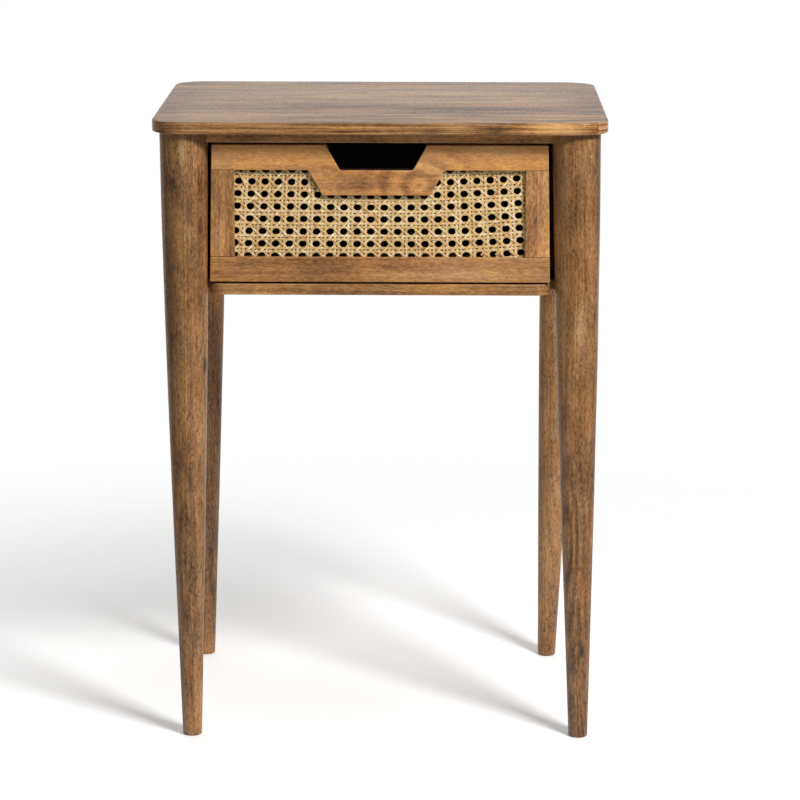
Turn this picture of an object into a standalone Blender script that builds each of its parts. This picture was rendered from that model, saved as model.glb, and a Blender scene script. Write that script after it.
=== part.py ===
"""Bedside table in solid wood: four turned legs, a case let into the legs, and one drawer with a cane front.

Metres, +Z up. The origin is on the floor under the middle of the top, the front faces -Y, and left is -X.
"""

import math

import bmesh
import bpy
from mathutils import Vector

# ---------------------------------------------------------------- driving dimensions
GAP = 0.0003                      # clearance left between pieces that touch
RUN_CLEARANCE = 0.0004            # the same where the drawer runs or stops

TOP_WIDTH = 0.450
TOP_DEPTH = 0.350
TOP_THICKNESS = 0.012
TOP_CORNER_RADIUS = 0.032
HEIGHT = 0.635

TOP_EASE = 0.0010

LEG_INSET = 0.0317                # leg axis, in from the edges of the top
LEG_TOP_RADIUS = 0.0242
LEG_FOOT_RADIUS = 0.0098
LEG_BELLY = 0.0010                # how far the taper bows outwards at half height
LEG_SHOULDER = 0.0010             # and how much further where it is fullest, two thirds of the way up
LEG_SIDES = 40
LEG_RINGS = 14
FOOT_EASE = 0.0018                # rounding round the foot

# The hand-fitted legs stand a little out of plumb: where each foot is, along X, from its own top.
FOOT_DRIFT = {
    "front_left_leg": 0.0008,
    "front_right_leg": 0.0100,
    "rear_left_leg": -0.0054,
    "rear_right_leg": -0.0127,
}

PANEL_THICKNESS = 0.014           # side panels
BACK_THICKNESS = 0.012
HOUSING_DEPTH = 0.015             # how far a panel is let into a leg
CASE_BOTTOM = 0.460
BOARD_THICKNESS = 0.011           # board under the drawer
BOARD_CORNER_RADIUS = 0.016
BOARD_FRONT_HALF = 0.1705         # half its width between the front legs
BOARD_OVERHANG = 0.0010           # how far it stands in front of the drawer
BOARD_SHOULDER = 0.1195           # where it widens behind them
BOARD_LEG_GAP = 0.0010            # clearance round the rear legs
OPENING_TOP = 0.6122              # underside of the rail above the drawer
FRONT_RAIL_DEPTH = 0.045
CLEAT_FRONT = 0.1185              # the cleat under the back of the top
CLEAT_HALF_WIDTH = 0.1680

GUIDE_FACE = 0.1695               # inner face of a drawer guide, out from the middle
GUIDE_BOTTOM = 0.480
GUIDE_HALF_LENGTH = 0.118

CLOSING_STOP_INNER = 0.110        # the blocks on the back panel that the drawer shuts against
CLOSING_STOP_OUTER = 0.140
CLOSING_STOP_BOTTOM = 0.520
CLOSING_STOP_TOP = 0.560

FRONT_FACE = -0.152               # front face of the drawer
FRONT_THICKNESS = 0.018
FRONT_BOTTOM = 0.473
FRONT_TOP = 0.610
FRONT_HALF_WIDTH_TOP = 0.1662     # the drawer front widens downwards, as the legs taper away from it
FRONT_HALF_WIDTH_BOTTOM = 0.1690
RAIL_WIDTH = 0.025                # every member of the drawer's front frame

GRIP_CENTRE = -0.0035             # the cut-out grip is a little left of the middle
GRIP_HALF_WIDTH = 0.0360          # at the bottom of the notch
GRIP_FLARE = 0.0142               # how much wider it is at the top, each side
GRIP_STEP = 0.0172                # the frame's dip is this much wider than the notch, each side
GRIP_CORNER_RADIUS = 0.0025

CANE_RECESS = 0.0045
CANE_THICKNESS = 0.0015
CANE_MARGIN = 0.0070              # cane held behind the frame
REBATE = 0.0080
BEAD_CLEARANCE = 0.0008           # from the edge of the window to a bead
BEAD_CORNER = 0.0040              # from the dip's corner to the end of a bead
GRIP_BEAD_REACH = 0.0080          # how far the bead under the grip runs past the notch

SIDE_THICKNESS = 0.012            # drawer box
SIDE_OUTER = 0.1675
SIDE_TOP = 0.608
BOX_BACK = 0.124
BACK_TOP = 0.600
BASE_THICKNESS = 0.005
BASE_BOTTOM = 0.481
GROOVE = 0.005
DADO = 0.004
OPENING_STOP_HALF_WIDTH = 0.020   # the block on the drawer's back that stops it at the front rail
OPENING_STOP_FRONT = 0.098
OPENING_STOP_BOTTOM = 0.578
OPENING_STOP_TOP = 0.618
OPENING_STOP_SCREW_Z = 0.590

SCREW_HEAD_RADIUS = 0.0038
SCREW_RADIUS = 0.0019
SCREW_POINT = 0.8                 # where its point starts, as a share of its length
GUIDE_SCREW_LENGTH = 0.025
GUIDE_SCREW_Y = 0.080
TOP_SCREW_LENGTH = 0.018
TOP_SCREW_X = 0.110
FRONT_TOP_SCREW_SETBACK = 0.030   # behind the front rail's face
REAR_TOP_SCREW_Y = 0.128
STOP_SCREW_LENGTH = 0.022

DOWEL_RADIUS = 0.004
DOWEL_CHAMFER = 0.0006
BOARD_DOWEL_LENGTH = 0.024
BOARD_DOWEL_IN_BOARD = 0.014
SIDE_DOWEL_LENGTH = 0.030
SIDE_DOWEL_IN_RAIL = 0.012
LOWER_SIDE_DOWEL_Z = 0.477
UPPER_SIDE_DOWEL_Z = 0.601
STILE_DOWEL_LENGTH = 0.020
STILE_DOWEL_FROM_WINDOW = 0.0165
STILE_DOWEL_FORWARD = 0.0030      # in front of the middle of the frame's thickness, clear of the rebate

EASE = 0.0008                     # the small rounding on sawn edges
ARC_STEP = 6                      # degrees between the points of a large arc
ARC_FULL_RADIUS = 0.012           # smaller arcs have fewer points
SMALL_SIDES = 12                  # sides of a screw or a dowel
OVERSHOOT = 0.001                 # how far a cutter runs past the face that it opens

# ---------------------------------------------------------------- worked out from those
UNDERSIDE = HEIGHT - TOP_THICKNESS
FRAME_TOP = UNDERSIDE - GAP
LEG_X = TOP_WIDTH / 2 - LEG_INSET
LEG_Y = TOP_DEPTH / 2 - LEG_INSET
PANEL_INNER = LEG_X - PANEL_THICKNESS / 2
BACK_INNER = LEG_Y - BACK_THICKNESS / 2
BOARD_TOP = CASE_BOTTOM + BOARD_THICKNESS
FRAME_BACK = FRONT_FACE + FRONT_THICKNESS
WINDOW_HALF = FRONT_HALF_WIDTH_BOTTOM - RAIL_WIDTH
WINDOW_BOTTOM = FRONT_BOTTOM + RAIL_WIDTH + GAP
WINDOW_TOP = FRONT_TOP - RAIL_WIDTH
SIDE_INNER = SIDE_OUTER - SIDE_THICKNESS
DIP_BOTTOM_HALF = GRIP_HALF_WIDTH + GRIP_STEP
DIP_TOP_HALF = DIP_BOTTOM_HALF + GRIP_FLARE
DIP_Z = WINDOW_TOP - RAIL_WIDTH


# ---------------------------------------------------------------- materials
def material(name, colour, roughness, metallic=0.0):
    made = bpy.data.materials.new(name)
    made.use_nodes = True
    shader = made.node_tree.nodes["Principled BSDF"]
    shader.inputs["Base Color"].default_value = (*colour, 1.0)
    shader.inputs["Roughness"].default_value = roughness
    shader.inputs["Metallic"].default_value = metallic
    return made


# ---------------------------------------------------------------- shape helpers
def add(name, bm, finish, origin=(0.0, 0.0, 0.0)):
    """Makes an object of bm, whose points are in world space, with its origin at the point given."""
    origin = Vector(origin)
    bmesh.ops.translate(bm, verts=bm.verts, vec=-origin)
    bmesh.ops.recalc_face_normals(bm, faces=bm.faces)
    mesh = bpy.data.meshes.new(name)
    bm.to_mesh(mesh)
    bm.free()
    made = bpy.data.objects.new(name, mesh)
    made.location = origin
    bpy.context.scene.collection.objects.link(made)
    if finish:
        mesh.materials.append(finish)
    return made


def ease(piece, width=EASE, segments=2):
    """Rounds a piece's sharp edges."""
    bevel = piece.modifiers.new("eased edges", "BEVEL")
    bevel.width = width
    bevel.segments = segments
    bevel.limit_method = "ANGLE"
    bevel.angle_limit = math.radians(40)
    return piece


def block_mesh(low, high):
    bm = bmesh.new()
    bmesh.ops.create_cube(bm, size=1.0)
    low, high = Vector(low), Vector(high)
    bmesh.ops.scale(bm, verts=bm.verts, vec=high - low)
    bmesh.ops.translate(bm, verts=bm.verts, vec=(low + high) / 2)
    return bm


def block(name, low, high, finish, eased=EASE):
    """A sawn block between two opposite corners."""
    piece = add(name, block_mesh(low, high), finish, (Vector(low) + Vector(high)) / 2)
    return ease(piece, eased) if eased else piece


def mirrored(side, low, high):
    """Carries the two corners of a block on the right to a side: -1 is the left, 1 the right."""
    if side > 0:
        return low, high
    return (-high[0], low[1], low[2]), (-low[0], high[1], high[2])


def extrude(name, outline, low, high, axis, finish):
    """A board with this outline, from low to high along "Z" for an outline in XY, or "Y" for one in XZ."""
    bm = bmesh.new()
    place = (lambda u, v, w: (u, v, w)) if axis == "Z" else (lambda u, v, w: (u, w, v))
    corners = [bm.verts.new(place(u, v, low)) for u, v in outline]
    face = bm.faces.new(corners)
    grown = bmesh.ops.extrude_face_region(bm, geom=[face])["geom"]
    moved = [v for v in grown if isinstance(v, bmesh.types.BMVert)]
    bmesh.ops.translate(bm, verts=moved, vec=place(0.0, 0.0, high - low))
    return add(name, bm, finish)


def turn(name, profile, finish, base, axis=(0.0, 0.0, 1.0), sides=16):
    """A turned piece. Its profile is (radius, distance along the axis), starting and ending at radius 0."""
    bm = bmesh.new()
    points = [bm.verts.new((radius, 0.0, along)) for radius, along in profile]
    edges = [bm.edges.new(pair) for pair in zip(points, points[1:])]
    whole = {"cent": (0, 0, 0), "axis": (0, 0, 1), "angle": 2 * math.pi, "use_merge": True}
    bmesh.ops.spin(bm, geom=points + edges, steps=sides, **whole)
    bmesh.ops.remove_doubles(bm, verts=bm.verts, dist=0.00001)
    turned = Vector((0, 0, 1)).rotation_difference(Vector(axis)).to_matrix()
    bmesh.ops.rotate(bm, verts=bm.verts, cent=(0, 0, 0), matrix=turned)
    bmesh.ops.translate(bm, verts=bm.verts, vec=Vector(base))
    piece = add(name, bm, finish, base)
    piece.data.shade_smooth()
    piece.data.set_sharp_from_angle(angle=math.radians(35))
    return piece


def cut(piece, cutter):
    """Takes the cutter's volume out of piece, and hides the cutter."""
    cutter.hide_render = True
    cutter.display_type = "WIRE"
    boolean = piece.modifiers.new("cut by " + cutter.name, "BOOLEAN")
    boolean.operation = "DIFFERENCE"
    boolean.solver = "EXACT"
    boolean.object = cutter


def house(piece, low, high):
    """Cuts the housing that holds the block between low and high, with the clearance all round it."""
    grow = Vector((GAP, GAP, GAP))
    bm = block_mesh(Vector(low) - grow, Vector(high) + grow)
    cut(piece, add("cutter_" + piece.name, bm, None))


def drill(piece, start, direction, depth, radius):
    """Drills a round hole from start, along direction."""
    profile = [(0.0, 0.0), (radius, 0.0), (radius, depth), (0.0, depth)]
    cut(piece, turn("drill_" + piece.name, profile, None, start, direction, SMALL_SIDES))


# ---------------------------------------------------------------- outline helpers
def rounded(outline, radii):
    """Replaces each corner of an outline by an arc of the matching radius, or keeps it where that is 0."""
    points = []
    count = len(outline)
    for i, radius in enumerate(radii):
        corner = Vector(outline[i])
        to_last = (Vector(outline[i - 1]) - corner).normalized()
        to_next = (Vector(outline[(i + 1) % count]) - corner).normalized()
        if not radius:
            points.append(tuple(corner))
            continue
        half = to_last.angle(to_next) / 2
        centre = corner + (to_last + to_next).normalized() * (radius / math.sin(half))
        start = corner + to_last * (radius / math.tan(half)) - centre
        end = corner + to_next * (radius / math.tan(half)) - centre
        sweep = start.angle_signed(end)
        steps = max(3, round(abs(sweep) / math.radians(ARC_STEP) * min(1.0, radius / ARC_FULL_RADIUS)))
        for step in range(steps + 1):
            angle = math.atan2(start.y, start.x) - sweep * step / steps
            points.append((centre.x + radius * math.cos(angle), centre.y + radius * math.sin(angle)))
    return points


def offset(outline, distance):
    """Moves each side of an anticlockwise outline outwards by a distance, keeping its corners sharp."""
    points = []
    count = len(outline)
    for i in range(count):
        last, here, following = (Vector(outline[(i + k) % count]) for k in (-1, 0, 1))
        first = (here - last).normalized()
        second = (following - here).normalized()
        normal_1, normal_2 = Vector((first.y, -first.x)), Vector((second.y, -second.x))
        mitre = (normal_1 + normal_2).normalized()
        points.append(tuple(here + mitre * (distance / mitre.dot(normal_1))))
    return points


def front_half_width(z):
    """Half the drawer front's width at a height."""
    share = (z - FRONT_BOTTOM) / (FRONT_TOP - FRONT_BOTTOM)
    return FRONT_HALF_WIDTH_BOTTOM + (FRONT_HALF_WIDTH_TOP - FRONT_HALF_WIDTH_BOTTOM) * share


def window_outline():
    """The cane window in the drawer front, anticlockwise in XZ, with the dip of the grip in its top."""
    return [
        (-WINDOW_HALF, WINDOW_BOTTOM),
        (WINDOW_HALF, WINDOW_BOTTOM),
        (WINDOW_HALF, WINDOW_TOP),
        (GRIP_CENTRE + DIP_TOP_HALF, WINDOW_TOP),
        (GRIP_CENTRE + DIP_BOTTOM_HALF, DIP_Z),
        (GRIP_CENTRE - DIP_BOTTOM_HALF, DIP_Z),
        (GRIP_CENTRE - DIP_TOP_HALF, WINDOW_TOP),
        (-WINDOW_HALF, WINDOW_TOP),
    ]


# ---------------------------------------------------------------- fasteners
def screw(name, head, direction, length, finish):
    """A countersunk wood screw whose head is flush at the point head."""
    cone = SCREW_HEAD_RADIUS - SCREW_RADIUS
    profile = [
        (0.0, 0.0),
        (SCREW_HEAD_RADIUS, 0.0),
        (SCREW_RADIUS, cone),
        (SCREW_RADIUS, length * SCREW_POINT),
        (0.0, length),
    ]
    return turn(name, profile, finish, head, direction, SMALL_SIDES)


def screw_hole(piece, head, direction, length):
    """The countersunk hole that a screw passes through."""
    wide = SCREW_HEAD_RADIUS + GAP
    narrow = SCREW_RADIUS + GAP
    profile = [
        (0.0, -OVERSHOOT),
        (wide, -OVERSHOOT),
        (wide, GAP),
        (narrow, wide - narrow + GAP),
        (narrow, length + OVERSHOOT),
        (0.0, length + OVERSHOOT),
    ]
    cut(piece, turn("countersink_" + piece.name, profile, None, head, direction, SMALL_SIDES))


def dowel(name, start, direction, length, finish, joined):
    """A dowel, and its hole in each piece that it joins."""
    profile = [
        (0.0, 0.0),
        (DOWEL_RADIUS - DOWEL_CHAMFER, 0.0),
        (DOWEL_RADIUS, DOWEL_CHAMFER),
        (DOWEL_RADIUS, length - DOWEL_CHAMFER),
        (DOWEL_RADIUS - DOWEL_CHAMFER, length),
        (0.0, length),
    ]
    direction = Vector(direction)
    for piece in joined:
        drill(piece, Vector(start) - direction * GAP, direction, length + 2 * GAP, DOWEL_RADIUS + GAP)
    return turn(name, profile, finish, start, direction, SMALL_SIDES)


# ---------------------------------------------------------------- the case
def make_top(finish):
    half_x, half_y = TOP_WIDTH / 2, TOP_DEPTH / 2
    corners = [(-half_x, -half_y), (half_x, -half_y), (half_x, half_y), (-half_x, half_y)]
    outline = rounded(corners, [TOP_CORNER_RADIUS] * 4)
    top = extrude("top_panel", outline, UNDERSIDE, HEIGHT, "Z", finish)
    return ease(top, TOP_EASE)


def leg_radius(z):
    share = z / HEIGHT
    taper = LEG_FOOT_RADIUS + (LEG_TOP_RADIUS - LEG_FOOT_RADIUS) * share
    belly = LEG_BELLY * 4 * share * (1 - share)
    shoulder = LEG_SHOULDER * 27 / 4 * share * share * (1 - share)
    return taper + belly + shoulder


def make_leg(name, finish):
    """A turned leg, its axis drifting along X from its top to its foot."""
    side = -1 if "left" in name else 1
    end = -1 if "front" in name else 1
    profile = [(0.0, 0.0), (leg_radius(0) - FOOT_EASE, 0.0)]
    for step in range(1, 4):
        angle = math.radians(30 * step)
        profile.append(
            (leg_radius(0) - FOOT_EASE * (1 - math.sin(angle)), FOOT_EASE * (1 - math.cos(angle)))
        )
    for ring in range(1, LEG_RINGS + 1):
        z = FOOT_EASE + (FRAME_TOP - FOOT_EASE) * ring / LEG_RINGS
        profile.append((leg_radius(z), z))
    profile.append((0.0, FRAME_TOP))
    leg = turn(name, profile, finish, (side * LEG_X, end * LEG_Y, 0.0), sides=LEG_SIDES)
    for vertex in leg.data.vertices:
        vertex.co.x += FOOT_DRIFT[name] * (1 - vertex.co.z / FRAME_TOP)
    return leg


def side_panel_corners(side):
    end = LEG_Y - LEG_TOP_RADIUS + HOUSING_DEPTH
    return mirrored(side, (PANEL_INNER, -end, CASE_BOTTOM), (PANEL_INNER + PANEL_THICKNESS, end, FRAME_TOP))


def back_panel_corners():
    end = LEG_X - LEG_TOP_RADIUS + HOUSING_DEPTH - DADO
    return (-end, BACK_INNER, CASE_BOTTOM), (end, BACK_INNER + BACK_THICKNESS, FRAME_TOP)


def front_rail_corners():
    end = LEG_X - LEG_TOP_RADIUS + HOUSING_DEPTH - DADO
    return (-end, FRONT_FACE, OPENING_TOP), (end, FRONT_FACE + FRONT_RAIL_DEPTH, FRAME_TOP)


def leg_axis(name, z):
    """Where a leg's axis is along X, at a height."""
    side = -1 if "left" in name else 1
    return side * LEG_X + FOOT_DRIFT[name] * (1 - z / FRAME_TOP)


def round_rear_leg(name, wide, back):
    """The stretch of the board's outline that passes round a rear leg, as on the right, from x = wide to y = back."""
    steps = 5
    centre_x = abs(leg_axis(name, BOARD_TOP))
    radius = leg_radius(BOARD_TOP) + BOARD_LEG_GAP
    first = -math.acos((wide - centre_x) / radius)
    last = -math.pi - math.asin((back - LEG_Y) / radius)
    angles = [first + (last - first) * step / steps for step in range(steps + 1)]
    return [(centre_x + radius * math.cos(angle), LEG_Y + radius * math.sin(angle)) for angle in angles]


def make_bottom_board(finish):
    """The board under the drawer: it narrows between the front legs, and is cut round the rear ones."""
    wide, back, front = PANEL_INNER - GAP, BACK_INNER - GAP, FRONT_FACE - BOARD_OVERHANG
    front_corner = [(BOARD_FRONT_HALF, front), (BOARD_FRONT_HALF, -BOARD_SHOULDER), (wide, -BOARD_SHOULDER)]
    right = front_corner + round_rear_leg("rear_right_leg", wide, back)
    left = [(-x, y) for x, y in reversed(front_corner + round_rear_leg("rear_left_leg", wide, back))]
    radii = [BOARD_CORNER_RADIUS] + [0] * (len(right) + len(left) - 2) + [BOARD_CORNER_RADIUS]
    board = extrude("bottom_board", rounded(right + left, radii), CASE_BOTTOM, BOARD_TOP, "Z", finish)
    return ease(board)


def make_side(side, word, board, wood, inner_wood, beech, steel):
    """A side panel dowelled to the board, the guide screwed to it, and the stop that the drawer shuts on."""
    panel = block(word + "_side_panel", *side_panel_corners(side), wood)
    guide_low = (GUIDE_FACE, -GUIDE_HALF_LENGTH, GUIDE_BOTTOM)
    guide_high = (PANEL_INNER - GAP, GUIDE_HALF_LENGTH, OPENING_TOP - GAP)
    guide = block(word + "_drawer_guide", *mirrored(side, guide_low, guide_high), inner_wood)
    stop_low = (CLOSING_STOP_INNER, BOX_BACK + RUN_CLEARANCE, CLOSING_STOP_BOTTOM)
    stop_high = (CLOSING_STOP_OUTER, BACK_INNER - GAP, CLOSING_STOP_TOP)
    block(word + "_closing_stop", *mirrored(side, stop_low, stop_high), inner_wood)
    outwards = (side, 0, 0)
    for y, place in ((-GUIDE_SCREW_Y, "front"), (GUIDE_SCREW_Y, "rear")):
        head = Vector((side * GUIDE_FACE, y, (GUIDE_BOTTOM + OPENING_TOP) / 2))
        for piece in (guide, panel):
            screw_hole(piece, head, outwards, GUIDE_SCREW_LENGTH)
        head.x += side * GAP
        screw(f"{word}_{place}_guide_screw", head, outwards, GUIDE_SCREW_LENGTH, steel)
        start = (side * (PANEL_INNER - BOARD_DOWEL_IN_BOARD), y, CASE_BOTTOM + BOARD_THICKNESS / 2)
        dowel(f"{word}_{place}_board_dowel", start, outwards, BOARD_DOWEL_LENGTH, beech, (board, panel))


def make_case(wood, inner_wood, beech, steel):
    top = make_top(wood)
    legs = {name: make_leg(name, wood) for name in FOOT_DRIFT}
    board = make_bottom_board(wood)
    front_rail = block("front_top_rail", *front_rail_corners(), wood)
    block("back_panel", *back_panel_corners(), wood)
    cleat_low = (-CLEAT_HALF_WIDTH, CLEAT_FRONT, OPENING_TOP)
    cleat_high = (CLEAT_HALF_WIDTH, BACK_INNER - GAP, FRAME_TOP)
    cleat = block("rear_top_cleat", cleat_low, cleat_high, inner_wood)
    for name, leg in legs.items():
        side = -1 if "left" in name else 1
        house(leg, *side_panel_corners(side))
        house(leg, *(front_rail_corners() if "front" in name else back_panel_corners()))

    front_y = FRONT_FACE + FRONT_TOP_SCREW_SETBACK
    up = (0, 0, 1)
    for side, word in ((-1, "left"), (1, "right")):
        make_side(side, word, board, wood, inner_wood, beech, steel)
        for y, rail, place in ((front_y, front_rail, "front"), (REAR_TOP_SCREW_Y, cleat, "rear")):
            head = Vector((side * TOP_SCREW_X, y, OPENING_TOP))
            for piece in (rail, top):
                screw_hole(piece, head, up, TOP_SCREW_LENGTH)
            head.z += GAP
            screw(f"{word}_{place}_top_screw", head, up, TOP_SCREW_LENGTH, steel)


# ---------------------------------------------------------------- the drawer
def make_grip_rail(finish):
    """The top member of the drawer front. It steps down round the notch that serves as a grip."""
    notch_top = GRIP_HALF_WIDTH + GRIP_FLARE
    dip = [(x, z) for x, z in window_outline() if z > WINDOW_BOTTOM][1:-1]
    notch = [
        (GRIP_CENTRE - notch_top, FRONT_TOP),
        (GRIP_CENTRE - GRIP_HALF_WIDTH, WINDOW_TOP),
        (GRIP_CENTRE + GRIP_HALF_WIDTH, WINDOW_TOP),
        (GRIP_CENTRE + notch_top, FRONT_TOP),
    ]
    ends = [
        (front_half_width(FRONT_TOP), FRONT_TOP),
        (front_half_width(WINDOW_TOP), WINDOW_TOP),
        (-front_half_width(WINDOW_TOP), WINDOW_TOP),
        (-front_half_width(FRONT_TOP), FRONT_TOP),
    ]
    outline = notch + ends[:2] + dip + ends[2:]
    corner = GRIP_CORNER_RADIUS
    radii = [corner, corner, corner, corner, 0, 0, corner, corner, corner, corner, 0, 0]
    return extrude("drawer_grip_rail", rounded(outline, radii), FRONT_FACE, FRAME_BACK, "Y", finish)


def make_bottom_rail(finish):
    top = FRONT_BOTTOM + RAIL_WIDTH
    outline = [
        (-FRONT_HALF_WIDTH_BOTTOM, FRONT_BOTTOM),
        (FRONT_HALF_WIDTH_BOTTOM, FRONT_BOTTOM),
        (front_half_width(top), top),
        (-front_half_width(top), top),
    ]
    return extrude("drawer_bottom_rail", outline, FRONT_FACE, FRAME_BACK, "Y", finish)


def make_stile(side, word, finish):
    low, high = WINDOW_BOTTOM, WINDOW_TOP - GAP
    outline = [
        (side * WINDOW_HALF, low),
        (side * front_half_width(low), low),
        (side * front_half_width(high), high),
        (side * WINDOW_HALF, high),
    ]
    return extrude(f"drawer_{word}_stile", outline, FRONT_FACE, FRAME_BACK, "Y", finish)


def make_cane(cane, inner_wood):
    """The sheet of cane, and the beads that hold its edges in the rebate behind the frame."""
    face = FRONT_FACE + CANE_RECESS + GAP
    back = face + CANE_THICKNESS
    extrude("cane_webbing", offset(window_outline(), CANE_MARGIN), face, back, "Y", cane)
    near, far = BEAD_CLEARANCE, CANE_MARGIN
    reach = DIP_TOP_HALF + BEAD_CORNER
    grip_reach = GRIP_HALF_WIDTH + GRIP_BEAD_REACH
    sides = {
        "bottom": ((-WINDOW_HALF, WINDOW_BOTTOM - far), (WINDOW_HALF, WINDOW_BOTTOM - near)),
        "left": ((-WINDOW_HALF - far, WINDOW_BOTTOM - far), (-WINDOW_HALF - near, WINDOW_TOP + far)),
        "right": ((WINDOW_HALF + near, WINDOW_BOTTOM - far), (WINDOW_HALF + far, WINDOW_TOP + far)),
        "top_left": ((-WINDOW_HALF, WINDOW_TOP + near), (GRIP_CENTRE - reach, WINDOW_TOP + far)),
        "top_right": ((GRIP_CENTRE + reach, WINDOW_TOP + near), (WINDOW_HALF, WINDOW_TOP + far)),
        "grip": ((GRIP_CENTRE - grip_reach, DIP_Z + near), (GRIP_CENTRE + grip_reach, DIP_Z + far)),
    }
    for word, (low, high) in sides.items():
        corners = (low[0], back + GAP, low[1]), (high[0], FRAME_BACK - GAP, high[1])
        block(f"cane_{word}_bead", *corners, inner_wood, 0)


def join_front(side, word, grip_rail, bottom_rail, stile, wall, beech):
    """The dowels that join the front frame's members to each other and to a side of the box."""
    wall_x = side * (SIDE_INNER + SIDE_OUTER) / 2
    stile_x = side * (WINDOW_HALF + STILE_DOWEL_FROM_WINDOW)
    stile_y = FRONT_FACE + FRONT_THICKNESS / 2 - STILE_DOWEL_FORWARD
    for place, rail, side_z, joint_z in (
        ("lower", bottom_rail, LOWER_SIDE_DOWEL_Z, WINDOW_BOTTOM),
        ("upper", grip_rail, UPPER_SIDE_DOWEL_Z, WINDOW_TOP),
    ):
        start = (wall_x, FRAME_BACK - SIDE_DOWEL_IN_RAIL, side_z)
        dowel(f"{word}_{place}_side_dowel", start, (0, 1, 0), SIDE_DOWEL_LENGTH, beech, (rail, wall))
        start = (stile_x, stile_y, joint_z - STILE_DOWEL_LENGTH / 2)
        dowel(f"{word}_{place}_stile_dowel", start, (0, 0, 1), STILE_DOWEL_LENGTH, beech, (rail, stile))


def make_opening_stop(back, inner_wood, steel):
    """The block on the drawer's back that meets the front rail when the drawer is fully open."""
    low = (-OPENING_STOP_HALF_WIDTH, OPENING_STOP_FRONT, OPENING_STOP_BOTTOM)
    high = (OPENING_STOP_HALF_WIDTH, BOX_BACK - SIDE_THICKNESS - GAP, OPENING_STOP_TOP)
    stop = block("opening_stop", low, high, inner_wood)
    head = Vector((0.0, OPENING_STOP_FRONT, OPENING_STOP_SCREW_Z))
    for piece in (stop, back):
        screw_hole(piece, head, (0, 1, 0), STOP_SCREW_LENGTH)
    head.y += GAP
    screw("opening_stop_screw", head, (0, 1, 0), STOP_SCREW_LENGTH, steel)


def make_drawer(wood, inner_wood, cane, beech, steel):
    grip_rail = make_grip_rail(wood)
    bottom_rail = make_bottom_rail(wood)
    stiles = {word: make_stile(side, word, wood) for side, word in ((-1, "left"), (1, "right"))}

    recess = FRONT_FACE + CANE_RECESS
    rebate = extrude("rebate", offset(window_outline(), REBATE), recess, FRAME_BACK + OVERSHOOT, "Y", None)
    for member in (grip_rail, bottom_rail, *stiles.values()):
        ease(member)
        cut(member, rebate)
    make_cane(cane, inner_wood)

    base_reach = SIDE_INNER + GROOVE - GAP
    base_low = Vector((-base_reach, FRAME_BACK - GROOVE + GAP, BASE_BOTTOM))
    base_high = Vector((base_reach, BOX_BACK, BASE_BOTTOM + BASE_THICKNESS))
    block("drawer_base", base_low, base_high, inner_wood, 0)
    house(bottom_rail, base_low, base_high)

    back_reach = SIDE_INNER + DADO - GAP
    back_low = Vector((-back_reach, BOX_BACK - SIDE_THICKNESS, base_high.z + GAP))
    back_high = Vector((back_reach, BOX_BACK, BACK_TOP))
    back = block("drawer_back", back_low, back_high, inner_wood, 0)

    wall_low = (SIDE_INNER, FRAME_BACK + GAP, BOARD_TOP + RUN_CLEARANCE)
    wall_high = (SIDE_OUTER, BOX_BACK + GAP, SIDE_TOP)
    open_behind = Vector((0, OVERSHOOT, 0))
    open_above = Vector((0, 0, SIDE_TOP - BACK_TOP + OVERSHOOT))
    for side, word in ((-1, "left"), (1, "right")):
        wall = block(f"drawer_{word}_side", *mirrored(side, wall_low, wall_high), inner_wood)
        house(wall, base_low, base_high + open_behind)
        house(wall, back_low, back_high + open_behind + open_above)
        join_front(side, word, grip_rail, bottom_rail, stiles[word], wall, beech)
    make_opening_stop(back, inner_wood, steel)


def main():
    for old in list(bpy.data.objects):
        bpy.data.objects.remove(old)
    wood = material("mango wood", (0.33, 0.19, 0.095), 0.5)
    inner_wood = material("stained inner wood", (0.05, 0.028, 0.015), 0.6)
    beech = material("beech dowel", (0.60, 0.42, 0.26), 0.6)
    cane = material("cane", (0.72, 0.52, 0.28), 0.5)
    steel = material("screw steel", (0.60, 0.58, 0.52), 0.35, 1.0)
    make_case(wood, inner_wood, beech, steel)
    make_drawer(wood, inner_wood, cane, beech, steel)


main()
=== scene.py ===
"""The looks of the bedside table: turned legs, an edge-glued top, a cane-fronted drawer, and its light."""

import math
import random

import bmesh
import bpy
from mathutils import Matrix, Vector, noise


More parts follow.
